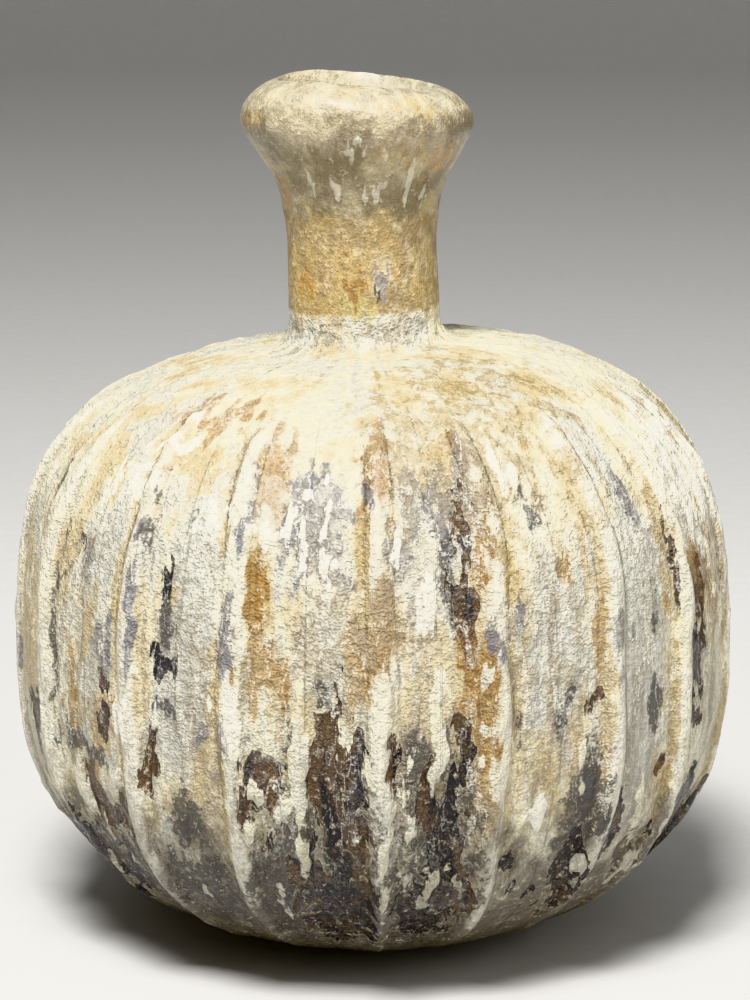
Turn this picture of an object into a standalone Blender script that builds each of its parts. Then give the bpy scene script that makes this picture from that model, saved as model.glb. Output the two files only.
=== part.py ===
"""Ribbed globular bottle of ancient glass, blown as one piece and built as one hollow solid.

Metres, +Z up. The origin is the middle of the foot, on the surface that the bottle stands on.
The side with the clearest ribs faces -Y.
"""

import math

import bpy
from mathutils import Vector
from mathutils.geometry import interpolate_bezier

# Body, as two superellipse curves that meet at its widest line
BODY_RADIUS = 0.0446
BELLY_HEIGHT = 0.0374
SHOULDER_HEIGHT = 0.0370
BELLY_FULLNESS = 2.45
SHOULDER_FULLNESS = 2.87
WALL = 0.0024

# Foot: a flat ring round a shallow hollow
FOOT_RADIUS = 0.0130
FOOT_RING_WIDTH = 0.0045
FOOT_HOLLOW_DEPTH = 0.0018
FLOOR_THICKNESS = 0.0030

# Neck, from the shoulder to where it flares, with its sweep out into the shoulder
NECK_LENGTH = 0.0178
NECK_RADIUS = 0.0093
NECK_TAPER = 0.0005
NECK_WALL = 0.0026
NECK_ROOT_SWEEP = 0.0032

# Flare up to the widest line of the lip, and the rounded lip above it
FLARE_HEIGHT = 0.0098
FLARE_SLOPE = 0.18
LIP_RADIUS = 0.0143
LIP_THICKNESS = 0.0059
LIP_FULLNESS = 0.62
LIP_RISE = 0.0046
MOUTH_ROUNDING = 0.0014

# Ribs: narrow ridges with wide shallow flutes between them
RIB_COUNT = 18
RIB_HEIGHT = 0.0009
RIB_WIDTH = 0.0040
FLUTE_DEPTH = 0.0004
# Where the ribs start and reach full height, as shares of the body's radius
RIB_TOP_SHARES = (0.58, 0.83)
RIB_FOOT_SHARES = (0.42, 0.67)
# Degrees that each rib strays from even spacing, from the middle rib of the front round to its right
RIB_DRIFT = (
    1.2, -1.3, -0.5, -3.8, -2.0, 0.5, -1.0, 1.5, -1.0,
    0.5, 2.0, 0.0, -1.5, -0.5, -1.0, -2.0, -0.2, -1.5,
)

# The blower's unevenness: the shoulder is fuller on the right, and the neck and lip stray to the left
SHOULDER_SLANT = 0.042
NECK_OFFSET = -0.0011
LIP_OFFSET = -0.0022
NECK_SHARE_OF_LEAN = 0.4
# The lip falls to the right of its highest line, and is worn down steeper on the left
LIP_SLANT = 0.110
LIP_WEAR = 0.200
LIP_HIGH_LINE = -0.0060

# Facets: rows along each stretch of the profile, and columns across each flute
BODY_ROW_COUNT = 9
HOLLOW_ROW_COUNT = 4
CURVE_ROW_COUNT = 4
BEND_ROW_COUNT = 2
FLUTE_COLUMN_COUNT = 2

# Length of a curve's handles, as a share of the straight way between its ends
HANDLE_SHARE = 0.4

SEAM_CLEARANCE = 0.00001
SHARP_EDGE = math.radians(50)
FRONT = -math.pi / 2

GLASS_COLOUR = (0.62, 0.53, 0.37, 1.0)
GLASS_ROUGHNESS = 0.75

WIDEST_Z = BELLY_HEIGHT
SHOULDER_Z = WIDEST_Z + SHOULDER_HEIGHT
FLARE_Z = SHOULDER_Z + NECK_LENGTH
LIP_Z = FLARE_Z + FLARE_HEIGHT
TOP_Z = LIP_Z + LIP_RISE

OUT = Vector((1.0, 0.0))
UP = Vector((0.0, 1.0))


def clear_scene():
    """Removes whatever objects the file holds."""
    for obj in list(bpy.data.objects):
        bpy.data.objects.remove(obj)


def smooth_step(low, high, value):
    """0 below low, 1 above high, and a smooth rise between them."""
    share = min(max((value - low) / (high - low), 0.0), 1.0)
    return share * share * (3.0 - 2.0 * share)


def quarter(radius, height, fullness, end_radius, rows):
    """Points of a superellipse from its widest line, which is at height 0, to where it has end_radius."""
    end = math.acos((end_radius / radius) ** (fullness / 2.0))
    points = []
    for row in range(rows + 1):
        angle = end * row / rows
        across = radius * math.cos(angle) ** (2.0 / fullness)
        along = height * math.sin(angle) ** (2.0 / fullness)
        points.append(Vector((across, along)))
    return points


def belly(radius, height, rows):
    """The body's lower half, from its widest line to the foot's edge, which is height below that line."""
    full_height = height / (1.0 - (FOOT_RADIUS / radius) ** BELLY_FULLNESS) ** (1.0 / BELLY_FULLNESS)
    points = quarter(radius, full_height, BELLY_FULLNESS, FOOT_RADIUS, rows)
    return [Vector((point.x, WIDEST_Z - point.y)) for point in points[:-1]] + [
        Vector((FOOT_RADIUS, WIDEST_Z - height))
    ]


def shoulder(radius, height, neck_radius, rows):
    """The body's upper half, from its widest line to the start of the sweep into the neck."""
    points = quarter(radius, height, SHOULDER_FULLNESS, neck_radius + NECK_ROOT_SWEEP, rows)
    return [Vector((point.x, WIDEST_Z + point.y)) for point in points]


def curve(start, start_way, end, end_way, rows):
    """Points of a curve that leaves start along start_way and reaches end along end_way, without start.

    A longer way is held for longer before the curve bends.
    """
    handle = HANDLE_SHARE * (end - start).length
    knots = (start, start + handle * start_way, end - handle * end_way, end)
    points = interpolate_bezier(*[knot.to_3d() for knot in knots], rows + 1)
    return [point.xy for point in points[1:]]


def inside_profile():
    """The hollow, from the middle of the floor up to the crest of the lip."""
    radius = BODY_RADIUS - WALL
    bore_radius = NECK_RADIUS - NECK_WALL
    mouth_radius = LIP_RADIUS - LIP_THICKNESS
    wall = shoulder(radius, SHOULDER_HEIGHT - WALL, bore_radius, HOLLOW_ROW_COUNT)
    bore_foot = Vector((bore_radius, wall[-1].y + NECK_ROOT_SWEEP))
    bore_top = Vector((bore_radius, FLARE_Z))
    mouth = Vector((mouth_radius, TOP_Z - MOUTH_ROUNDING))
    crest = Vector((mouth_radius + MOUTH_ROUNDING, TOP_Z))
    return (
        [Vector((0.0, FOOT_HOLLOW_DEPTH + FLOOR_THICKNESS))]
        + belly(radius, WIDEST_Z - FLOOR_THICKNESS, HOLLOW_ROW_COUNT)[::-1]
        + wall[1:]
        + curve(wall[-1], -OUT, bore_foot, UP, BEND_ROW_COUNT)
        + [bore_top]
        + curve(bore_top, UP, mouth, UP, BEND_ROW_COUNT)
        + curve(mouth, UP, crest, OUT, BEND_ROW_COUNT)
    )


def outside_profile(crest):
    """The outside, from below the lip's crest down to the middle of the foot."""
    lip_side = Vector((LIP_RADIUS, LIP_Z))
    neck_top = Vector((NECK_RADIUS + NECK_TAPER, FLARE_Z))
    wall = shoulder(BODY_RADIUS, SHOULDER_HEIGHT, NECK_RADIUS, BODY_ROW_COUNT)
    waist = Vector((NECK_RADIUS, wall[-1].y + NECK_ROOT_SWEEP))
    flare_way = -UP - FLARE_SLOPE * OUT
    return (
        curve(crest, OUT, lip_side, -UP, CURVE_ROW_COUNT)
        + curve(lip_side, -LIP_FULLNESS * UP, neck_top, flare_way, CURVE_ROW_COUNT)
        + curve(neck_top, flare_way, waist, -UP, CURVE_ROW_COUNT)
        + curve(waist, -UP, wall[-1], OUT, CURVE_ROW_COUNT)
        + wall[-2::-1]
        + belly(BODY_RADIUS, BELLY_HEIGHT, BODY_ROW_COUNT)[1:]
        + [Vector((FOOT_RADIUS - FOOT_RING_WIDTH, 0.0)), Vector((0.0, FOOT_HOLLOW_DEPTH))]
    )


def rib_strength(point):
    """1 on the body, fading to 0 on the shoulder and towards the foot."""
    start, full = RIB_TOP_SHARES if point.y > WIDEST_Z else RIB_FOOT_SHARES
    return smooth_step(start * BODY_RADIUS, full * BODY_RADIUS, point.x)


def rib_angle(rib):
    """Direction of a rib's crest from the axis, where rib 0 is the middle one of the front."""
    drift = RIB_DRIFT[rib % RIB_COUNT % len(RIB_DRIFT)]
    return FRONT + math.tau * rib / RIB_COUNT + math.radians(drift)


def ribbing_columns():
    """Direction of each column of facets, with the ribbing's height there: a ridge or a shallow hollow."""
    half_rib = RIB_WIDTH / 2.0 / BODY_RADIUS
    columns = []
    for rib in range(RIB_COUNT):
        crest = rib_angle(rib)
        flute_start = crest + half_rib
        flute_width = rib_angle(rib + 1) - half_rib - flute_start
        columns.append((crest, RIB_HEIGHT))
        for step in range(FLUTE_COLUMN_COUNT + 2):
            share = step / (FLUTE_COLUMN_COUNT + 1)
            depth = FLUTE_DEPTH * math.sin(math.pi * share)
            columns.append((flute_start + flute_width * share, -depth))
    return columns


def uneven(x, y, z):
    """Where the uneven blowing left a point of the evenly turned shape."""
    body_end = smooth_step(WIDEST_Z + SHOULDER_HEIGHT / 2.0, SHOULDER_Z, z)
    up_neck = smooth_step(SHOULDER_Z, FLARE_Z, z)
    up_flare = smooth_step(FLARE_Z, TOP_Z, z)
    up_lip = smooth_step(LIP_Z - LIP_RISE / 2.0, TOP_Z, z)
    lean = NECK_SHARE_OF_LEAN * up_neck + (1.0 - NECK_SHARE_OF_LEAN) * up_flare
    offset = body_end * NECK_OFFSET + lean * (LIP_OFFSET - NECK_OFFSET)
    past_high_line = max(LIP_HIGH_LINE - x, 0.0)
    lip_drop = LIP_SLANT * (x + past_high_line) + LIP_WEAR * past_high_line
    lift = body_end * (1.0 - up_neck) * SHOULDER_SLANT * x - up_lip * lip_drop
    return Vector((x + offset, y, z + lift))


def turned(name, profile, ribbing, columns):
    """A profile turned round the axis, where each of its points carries the strength of its ribbing."""
    line = bpy.data.meshes.new(name + "_profile")
    points = [(point.x, 0.0, point.y) for point in profile]
    line.from_pydata(points, [(i, i + 1) for i in range(len(points) - 1)], [])
    line.attributes.new("ribbing", "FLOAT", "POINT").data.foreach_set("value", ribbing)
    obj = bpy.data.objects.new(name, line)
    bpy.context.scene.collection.objects.link(obj)
    screw = obj.modifiers.new("turn", "SCREW")
    screw.steps = screw.render_steps = columns
    screw.use_merge_vertices = True
    screw.merge_threshold = SEAM_CLEARANCE
    depsgraph = bpy.context.evaluated_depsgraph_get()
    mesh = bpy.data.meshes.new_from_object(obj.evaluated_get(depsgraph))
    bpy.data.objects.remove(obj)
    return mesh


def glass():
    """Weathered glass under its pale crust."""
    material = bpy.data.materials.new("weathered_glass")
    material.use_nodes = True
    shader = material.node_tree.nodes["Principled BSDF"]
    shader.inputs["Base Color"].default_value = GLASS_COLOUR
    shader.inputs["Roughness"].default_value = GLASS_ROUGHNESS
    shader.inputs["Metallic"].default_value = 0.0
    return material


def bottle():
    """The whole vessel: foot, ribbed body, neck, lip and the hollow inside."""
    columns = ribbing_columns()
    inside = inside_profile()
    outside = outside_profile(inside[-1])
    ribbing = [0.0] * len(inside) + [rib_strength(point) for point in outside]
    mesh = turned("bottle", inside + outside, ribbing, len(columns))
    strengths = mesh.attributes["ribbing"].data
    for vertex, strength in zip(mesh.vertices, strengths):
        turn = math.atan2(vertex.co.y, vertex.co.x) / math.tau
        angle, height = columns[round(turn * len(columns)) % len(columns)]
        radius = vertex.co.xy.length
        if radius > SEAM_CLEARANCE:
            radius += strength.value * height
        vertex.co = uneven(radius * math.cos(angle), radius * math.sin(angle), vertex.co.z)
    mesh.shade_smooth()
    mesh.set_sharp_from_angle(angle=SHARP_EDGE)
    mesh.materials.append(glass())
    return bpy.data.objects.new("bottle", mesh)


def main():
    clear_scene()
    collection = bpy.data.collections.new("ribbed_glass_bottle")
    bpy.context.scene.collection.children.link(collection)
    collection.objects.link(bottle())


main()
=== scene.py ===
"""Looks of a ribbed globular bottle of ancient glass: its burial crust, the bare glass, floor and light.

Metres, +Z up. The bottle stands on z = 0, and the side with the clearest ribs faces -Y.
Directions round the bottle are in degrees: 0 faces -Y, and they grow towards +X.
"""

import math
import random
from types import SimpleNamespace

import bpy
import numpy as np
from bpy.props import FloatProperty, FloatVectorProperty, IntProperty, PointerProperty, StringProperty
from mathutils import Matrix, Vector


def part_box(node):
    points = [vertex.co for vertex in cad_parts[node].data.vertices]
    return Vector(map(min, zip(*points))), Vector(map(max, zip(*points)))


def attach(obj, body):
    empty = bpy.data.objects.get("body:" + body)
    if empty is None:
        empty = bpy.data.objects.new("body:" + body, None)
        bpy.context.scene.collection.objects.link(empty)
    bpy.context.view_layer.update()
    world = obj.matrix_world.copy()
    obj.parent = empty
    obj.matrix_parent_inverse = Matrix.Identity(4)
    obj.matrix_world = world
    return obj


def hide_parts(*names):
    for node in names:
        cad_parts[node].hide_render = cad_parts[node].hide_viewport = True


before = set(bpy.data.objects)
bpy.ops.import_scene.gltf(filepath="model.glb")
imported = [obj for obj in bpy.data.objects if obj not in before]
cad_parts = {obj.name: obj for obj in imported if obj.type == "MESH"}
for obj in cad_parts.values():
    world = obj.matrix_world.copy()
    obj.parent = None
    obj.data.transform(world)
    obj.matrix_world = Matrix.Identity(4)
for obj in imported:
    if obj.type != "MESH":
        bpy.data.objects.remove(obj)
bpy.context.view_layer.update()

bl_info = {
    "name": "Ribbed glass bottle",
    "version": (1, 0, 0),
    "blender": (4, 5, 0),
    "location": "View3D > Sidebar > Bottle",
    "description": "Makes a weathered, ribbed bottle of ancient glass, with its floor and light",
    "category": "Object",
}

NODE = "bottle"
PIECE = "ribbed_bottle"
LOW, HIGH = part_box(NODE)

# Ribs: their number and height, the degrees that each one strays from even spacing, and the degrees that
# it wanders to and fro on its way down
RIB_COUNT = 18
RIB_HEIGHT = 0.0009
RIB_DRIFT = (
    1.2, -1.3, -0.5, -3.8, -2.0, 0.5, -1.0, 1.5, -1.0,
    0.5, 2.0, 0.0, -1.5, -0.5, -1.0, -2.0, -0.2, -1.5,
)
RIB_WANDER = 0.4

# The ribs start and are full at these shares of the body's radius, above and below its widest line
RIB_TOP_SHARES = (0.58, 0.83)
RIB_FOOT_SHARES = (0.45, 0.90)

# The blower's unevenness: the shoulder is fuller on the right, and the neck and lip stray to the left
SHOULDER_SLANT = 0.042
NECK_OFFSET = -0.0011
LIP_OFFSET = -0.0022
NECK_SHARE_OF_LEAN = 0.4
LIP_SLANT = 0.110
LIP_WEAR = 0.200
LIP_HIGH_LINE = -0.0060
LIP_BLEND = 0.0030

# How the profile's curves bend
BELLY_FULLNESS = 2.45
SHOULDER_FULLNESS = 2.87
HANDLE_SHARE = 0.4
FLARE_SLOPE = 0.18
LIP_FULLNESS = 0.62
FINE_POINTS = 80

# Columns round each part of the surface, and the spacing of its rows
HOLLOW_COLUMNS, HOLLOW_ROW = 80, 0.0035
NECK_COLUMNS, NECK_ROW = 240, 0.00036
BODY_COLUMNS, BODY_ROW = 480, 0.00092
FOOT_COLUMNS, FOOT_ROW = 120, 0.0012

OUT = np.array((1.0, 0.0))
UP = np.array((0.0, 1.0))
SHARP_EDGE = math.radians(60)

# Marks on the front's crust, neck and lip, listed by kind and from left to right. Each has its
# direction in degrees, height in mm, half width in degrees, half height in mm and strength
FRONT_MARKS = {
    "black": (
        # The black marks at -76 and -58 degrees, low on the left flank, are painted shadow drawn as black
        # glass
        (-76, 12, 9, 2.6, 1), (-58, 13.6, 12, 4.6, 1), (-33.6, 42.7, 2.2, 2.6, 1),
        (-33.4, 51.5, 1.1, 3.2, 1), (-6, 13.5, 6.4, 8, 1), (-5.6, 28, 3.9, 11, 1), (3, 10, 0.9, 1.6, 1),
        (5, 12, 1, 1.7, 1), (10.5, 12.5, 5.4, 5, 1), (10.8, 21.5, 3.4, 8.5, 1), (11.5, 52, 0.9, 2.4, 0.9),
        (14.5, 34, 0.8, 3, 1), (22.2, 17, 1.0, 2.1, 1), (24, 14, 1.1, 1.2, 1), (29, 14, 1.0, 0.9, 0.9),
        (35.8, 15.5, 3.4, 5.5, 1), (43.8, 21, 1.7, 5.2, 1), (64, 18.5, 6.5, 5, 1), (76, 14.5, 9, 4.5, 1),
    ),
    "brown": (
        (-70, 30.5, 5, 2.4, 0.9), (-54, 53.5, 1.2, 1.8, 0.8), (-52, 25.5, 1.8, 3.4, 0.85),
        (-50, 21.5, 6.5, 2.2, 0.95), (-46.5, 38.5, 2, 2.2, 0.8), (-45.5, 33, 1.7, 2.2, 0.8),
        (-37.4, 29, 0.9, 3, 0.9), (-36, 32.5, 1.3, 2.4, 1), (-17, 25, 3, 4, 0.85), (-16, 29.6, 3.5, 3.3, 1),
        (-13, 13, 1.5, 6, 0.7), (-9, 22, 1.6, 8, 0.9), (-8.2, 35.5, 1.8, 4.4, 0.9), (-6, 35, 2.4, 5, 0.95),
        (-2.6, 14, 1.6, 6, 0.9), (-2.2, 32, 1.8, 6, 1), (-2, 22, 2.2, 6, 1), (2.9, 32, 0.8, 4, 1),
        (8.2, 26, 1.1, 6, 0.9), (13.2, 33.3, 1.3, 4, 0.9), (13.5, 20, 1.6, 6, 0.9), (13.8, 58, 1.6, 3, 0.7),
        (14.4, 50, 1.4, 4.4, 0.85), (14.6, 13.5, 3.4, 4, 0.85), (15, 63.5, 1.6, 1.2, 0.7),
        (35.5, 36.5, 1.7, 2.4, 0.7), (51, 16, 4.5, 3.6, 0.7), (52.5, 26.5, 1.5, 1.7, 0.9),
        (54.4, 52.5, 0.7, 5.6, 0.8), (61.5, 38.5, 4, 4.6, 1), (62, 31, 3, 1.6, 0.9), (63, 47, 3, 3.5, 0.7),
    ),
    "amber": (
        (-55, 34, 3, 5, 0.7), (-51, 27, 1.8, 3.6, 1), (-46, 33.8, 3.2, 3.2, 1), (-17.6, 49, 1.6, 9.5, 0.9),
        (-14.6, 43, 1.7, 7, 0.75), (-13, 87, 8, 1.0, 0.6), (-6, 81.5, 9, 2.6, 0.8), (-3, 44.5, 1.5, 8, 1),
        (1.4, 47.5, 1.7, 4.6, 1), (14.2, 43, 1.5, 11, 1), (16.3, 58, 2.6, 8, 0.85), (16.9, 35, 1.8, 11, 0.9),
        (25, 99, 18, 1.6, 0.6), (36.4, 46.5, 0.9, 4.2, 0.9), (65, 49.5, 6.5, 4.2, 1),
    ),
    "soot_and_shade": (
        # Dark dirt, and painted shade on the lower body below about 25 mm
        (-59.4, 44, 0.8, 14, 0.75), (-53, 29.6, 5.5, 1.7, 1), (-46, 13, 5, 6, 1), (-43.5, 22, 1.6, 4, 0.9),
        (-33.6, 36.4, 2.2, 1.2, 1), (-33.5, 47.3, 2.0, 2.4, 1), (-31.5, 23, 3.4, 3.4, 0.85),
        (-31, 13.5, 8, 6, 0.85), (-17.5, 16, 5, 7, 0.9), (-15, 15, 7, 9, 1), (-8, 20, 11, 16, 0.92),
        (-7.2, 41, 1.7, 2.4, 0.9), (-6.5, 22, 6.5, 17, 0.9), (-4, 14, 17, 7, 0.6), (6.3, 29, 1.9, 9, 0.9),
        (9, 15, 9, 10, 1), (11.5, 20, 4.5, 15, 0.95), (11.6, 53, 1.5, 5, 0.95), (12, 80.2, 3, 0.8, 1),
        (22.3, 35.5, 0.9, 1.8, 0.8), (30.7, 37.5, 0.7, 2.8, 0.9), (34.5, 24, 4.4, 7.5, 1),
        (49.2, 35, 1.8, 3.4, 1),
    ),
    "dull_and_shade": (
        # Buff dirt, partly painted shade in the flutes between the ribs, and painted shade in the band under
        # the lip's roll at 100.2 mm
        (-30, 76.2, 60, 2.2, 0.5), (-26, 28, 3.5, 14, 0.6), (-17, 22, 5, 8, 0.9), (-9, 44, 3, 8, 0.9),
        (-5, 100.2, 48, 1.1, 0.9), (-2, 50, 8, 5, 0.55), (4, 62, 4, 3, 0.7), (4.6, 20, 2.6, 16, 0.9),
        (7, 40, 4, 14, 0.75), (11, 20, 7, 16, 1), (14, 63, 5.5, 3.2, 1.1), (20, 76.5, 50, 1.6, 0.6),
        (29, 44, 6, 18, 0.38), (68, 44, 6, 16, 0.4),
    ),
    "stain": (
        (-74, 45, 6, 12, 0.55), (-70, 35, 5, 5, 1), (-70, 103, 20, 2, 0.6), (-54, 46, 3.5, 11, 0.6),
        (-51, 42, 5, 14, 0.4), (-45, 84.5, 50, 6.5, 0.6), (8, 70.5, 12, 2.4, 0.55), (9, 65, 9, 4, 0.95),
        (11, 68.5, 9, 2.2, 0.75), (20, 60, 5, 7, 0.7), (21, 52, 3, 12, 0.7), (24, 65.5, 15, 4.5, 0.7),
        (30, 104.4, 22, 1.2, 0.6), (34, 71, 24, 4, 0.66), (35, 53, 1.2, 3.2, 1), (38, 39.5, 1.0, 6, 1),
        (52.5, 52, 1.4, 12.5, 1), (60, 88, 22, 6, 0.5), (70, 43, 4, 5, 0.9),
    ),
    "rust": (
        (-66, 94, 10, 3, 0.9), (-48, 83, 12, 1.4, 0.9), (-35, 69.8, 13, 1.2, 0.9),
        (-16.5, 63.5, 3.4, 4.2, 1.1), (-2, 60, 1.3, 1.1, 0.9), (1.4, 65.5, 3.0, 3.4, 1.1),
        (3.5, 60, 1.5, 1.2, 0.9), (30, 84.5, 7, 1.2, 0.8), (52, 97.5, 14, 2.4, 0.9),
    ),
    "moss": (
        (-4, 79.3, 16, 1.3, 1),
    ),
    "veil": (
        (-51, 52, 1.6, 2.6, 1), (-46, 42, 2.6, 4.5, 1), (-39.4, 50, 0.9, 9, 1), (-27, 35.5, 1.2, 2, 1),
        (-22.7, 47.5, 1.2, 5, 1), (-20.8, 60, 0.8, 5, 1), (-12.4, 63, 1.0, 4, 1),
        (-9.6, 58.5, 4.8, 6.6, 1.15), (-5, 54, 2.4, 3, 0.8), (-0.5, 61.5, 1.1, 1.9, 1), (4, 26, 1.4, 5, 0.9),
        (5, 56, 3, 3, 0.8), (6.5, 61, 2.2, 3, 0.9), (9, 60, 2.4, 3.4, 0.95), (12, 62, 2.4, 1.6, 1.1),
        (13, 58, 2.2, 4.6, 1), (14, 82.5, 5, 1.6, 0.9), (15.5, 63.5, 2.2, 2.2, 1), (22, 49.5, 0.9, 2, 1),
        (47.5, 60, 2.4, 3.2, 1), (63, 38, 4, 4, 0.9),
    ),
    "grey": (
        (-51, 48, 6, 16, 0.6), (-29, 44, 5, 16, 0.9), (-24, 64.8, 2.4, 1.4, 1), (-14.7, 53, 1.6, 2.6, 1),
        (-6.7, 45.5, 2.4, 5.5, 1), (0, 76.8, 70, 2.6, 0.9), (2.4, 17, 1.9, 14, 1), (12, 85, 9, 2, 0.9),
        (29, 40, 5, 16, 0.9), (46, 46, 6, 20, 1.1),
    ),
    "pale": (
        (-63.5, 41, 2.2, 22, 0.85), (-54.8, 24, 1.9, 2.8, 0.9), (-44.5, 26.7, 1.8, 1.5, 1),
        (-19, 23.5, 0.9, 1.8, 1), (-18.2, 27.5, 0.9, 1.6, 1), (-15, 25, 1.3, 0.9, 1), (-14, 28, 1.2, 2.4, 1),
        (-11.2, 32, 1.3, 13, 0.9), (-9, 52, 3, 0.6, 1), (-2.4, 22, 1.1, 1.5, 0.75), (1.1, 36, 1.1, 9, 1),
        (1.8, 17, 0.9, 12, 0.75), (5.2, 24, 0.7, 9, 0.85), (9.6, 38, 1.3, 7.5, 0.95), (14, 17, 2, 0.6, 1),
        (16.2, 42, 0.8, 1.4, 0.9), (16.4, 32.5, 0.8, 1.5, 0.9), (17.6, 37, 0.9, 1.4, 0.9),
        (17.8, 28.5, 0.9, 1.5, 0.9), (56.5, 38, 1.5, 26, 0.8), (63, 26.5, 4, 2, 0.8),
    ),
    "chalk": (
        (-47, 62, 6, 3, 0.55), (-42, 66, 7, 3, 0.5), (-40, 36, 5, 5, 0.45), (-32, 94.3, 3.5, 0.9, 1),
        (-27, 60, 4, 4, 0.55), (-22, 38, 4, 5, 0.4), (-17.5, 59, 2.2, 1.0, 0.9), (-16, 94.5, 3, 2, 0.6),
        (-13.5, 60, 0.6, 3, 0.8), (-11, 55, 0.7, 3.5, 0.9), (-9.5, 62.5, 2.2, 0.5, 0.8),
        (-7.4, 59, 0.7, 5.5, 0.9), (-5, 56.5, 2, 0.5, 0.8), (-2, 99.8, 5, 0.9, 0.85), (3, 92.5, 2.5, 0.7, 1),
        (3.6, 58, 0.6, 3.5, 0.8), (7.2, 52, 2.4, 5, 0.5), (11, 94, 3, 1.2, 0.7), (15, 96.5, 2.2, 2.6, 0.75),
        (23.4, 65, 0.9, 2.6, 0.9), (25.5, 24.8, 2.2, 1.4, 0.8), (25.8, 64.5, 0.9, 1.8, 0.9),
        (33, 96, 2, 2.8, 0.7), (48, 93.5, 5, 0.8, 0.9), (69, 60, 11, 7, 0.7),
    ),
}
# How dark the glass of each kind of bare mark is, from brown to black
GLASS_DEPTH = {"brown": 0.3, "black": 0.80}
# The fields that the other kinds of mark add to
FIELDS = ("bare", "amber", "stain", "rust", "veil", "grey", "pale", "chalk", "soot_and_shade", "moss", "dull_and_shade")

# Up to this direction the marks are listed one by one, and past it they are drawn at random, with a margin
SIDE_DIRECTION = 80.0
BACK_MARGIN = 4.0
BACK_MARKS = 90
BACK_KINDS = ("amber", "amber", "brown", "brown", "black", "stain", "rust", "veil", "grey", "pale", "soot_and_shade")
BACK_HEIGHTS = (14, 62)

# Large dark marks near the foot, on the same sides
FOOT_MARGIN = 6.0
FOOT_MARKS = 14
FOOT_KINDS = ("soot_and_shade", "black")
FOOT_HEIGHTS = (10, 20)

# Small flecks all round
FLECKS = 330
FLECK_KINDS = ("amber", "stain", "stain", "veil", "veil", "pale", "pale", "soot_and_shade")
FLECK_HEIGHTS = (12, 64)

# How high the dirt and painted shade reach: full up to the first height, none from the second
DIRT_AND_SHADE_HEIGHTS = (0.005, 0.029)

# The skins of neck and flare. Their border strays in waves round the neck, each with its height, number of
# waves and start. The spans say where each skin fades in or out: the flare's from that border to the lip's
# widest line, and the neck's from the top of the shoulder to that border
SKIN_WAVES = ((0.0005, 3.0, 1.0), (0.0003, 8.0, 0.0), (0.0002, 19.0, 2.0))
FLARE_SKIN_START = (-0.0036, 0.0006)
FLARE_SKIN_END = (0.0002, 0.0034)
NECK_SKIN_START = (0.003, 0.0055)
NECK_SKIN_END = (-0.0010, 0.0026)

# The body's relief fades out over this height above the floor, and is this strong on the neck
RELIEF_START = 0.004
NECK_RELIEF = 0.6

# The lens, for a picture 1000 pixels high, and how far to the right of the axis the camera stands
PICTURE_HEIGHT = 1000
FOCAL_PIXELS = 3409.0
SENSOR_WIDTH = 36.0
CAMERA_SHIFT = 0.0002

# The soft lights: where they stand, how wide they are and their tints, and the point that they face
LIT_POINT = (0.0, 0.0, 0.06)
KEY_PLACE = (-0.08, -0.34, 0.66)
KEY_SIZE = 0.24
KEY_TINT = (1.0, 0.995, 0.985)
FILL_PLACE = (0.62, -0.35, 0.30)
FILL_SIZE = 0.5
FILL_TINT = (1.0, 0.99, 0.98)
SKY_TINT = (0.98, 0.99, 1.0, 1.0)


def length(name, description, default, least):
    """A setting in metres, with its default and the least that it may be."""
    return FloatProperty(
        name=name, description=description, default=default, min=least, unit="LENGTH", precision=5)


class BottleForm(bpy.types.PropertyGroup):
    """Sizes of the blown form."""

    body_radius: length(
        "Body radius", "Radius of the body under its ribs, at the widest line",
        (HIGH.y - LOW.y) / 2.0 - RIB_HEIGHT, 0.02)
    widest_height: length(
        "Height of widest line", "How far the body's widest line is above the foot",
        0.0374, 0.01)
    shoulder_height: length(
        "Shoulder height", "From the widest line to the top of the shoulder",
        0.0370, 0.01)
    wall: length("Wall", "Thickness of the body's wall", 0.0024, 0.0005)
    foot_radius: length("Foot radius", "Outer radius of the ring that the bottle stands on", 0.0130, 0.002)
    foot_ring_width: length("Foot ring width", "Width of the ring that the bottle stands on", 0.0045, 0.0005)
    foot_hollow: length("Foot hollow", "Depth of the hollow under the foot", 0.0018, 0.0)
    floor_thickness: length("Floor thickness", "Thickness of the glass under the hollow", 0.0030, 0.0005)
    neck_length: length("Neck length", "From the shoulder to the start of the flare", 0.0178, 0.002)
    neck_radius: length("Neck radius", "Outer radius of the neck at its waist", 0.0093, 0.002)
    neck_taper: length("Neck taper", "How much wider the neck is where its flare starts", 0.0005, 0.0)
    neck_wall: length("Neck wall", "Thickness of the neck's wall", 0.0026, 0.0005)
    neck_root_sweep: length("Neck root sweep", "Reach of the curve between neck and shoulder", 0.0032, 0.0005)
    flare_height: length(
        "Flare height", "From the start of the flare to the lip's widest line",
        0.0098, 0.001)
    lip_radius: length("Lip radius", "Outer radius of the lip", 0.0143, 0.003)
    lip_thickness: length("Lip thickness", "From the lip's outer side to the mouth", 0.0059, 0.001)
    lip_rise: length("Lip rise", "From the lip's widest line to its crest", 0.0046, 0.0005)
    mouth_rounding: length("Mouth rounding", "Radius of the rounded edge inside the mouth", 0.0014, 0.0002)

    @property
    def shoulder_z(self):
        return self.widest_height + self.shoulder_height

    @property
    def flare_z(self):
        return self.shoulder_z + self.neck_length

    @property
    def lip_z(self):
        return self.flare_z + self.flare_height

    @property
    def top_z(self):
        return self.lip_z + self.lip_rise


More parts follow.
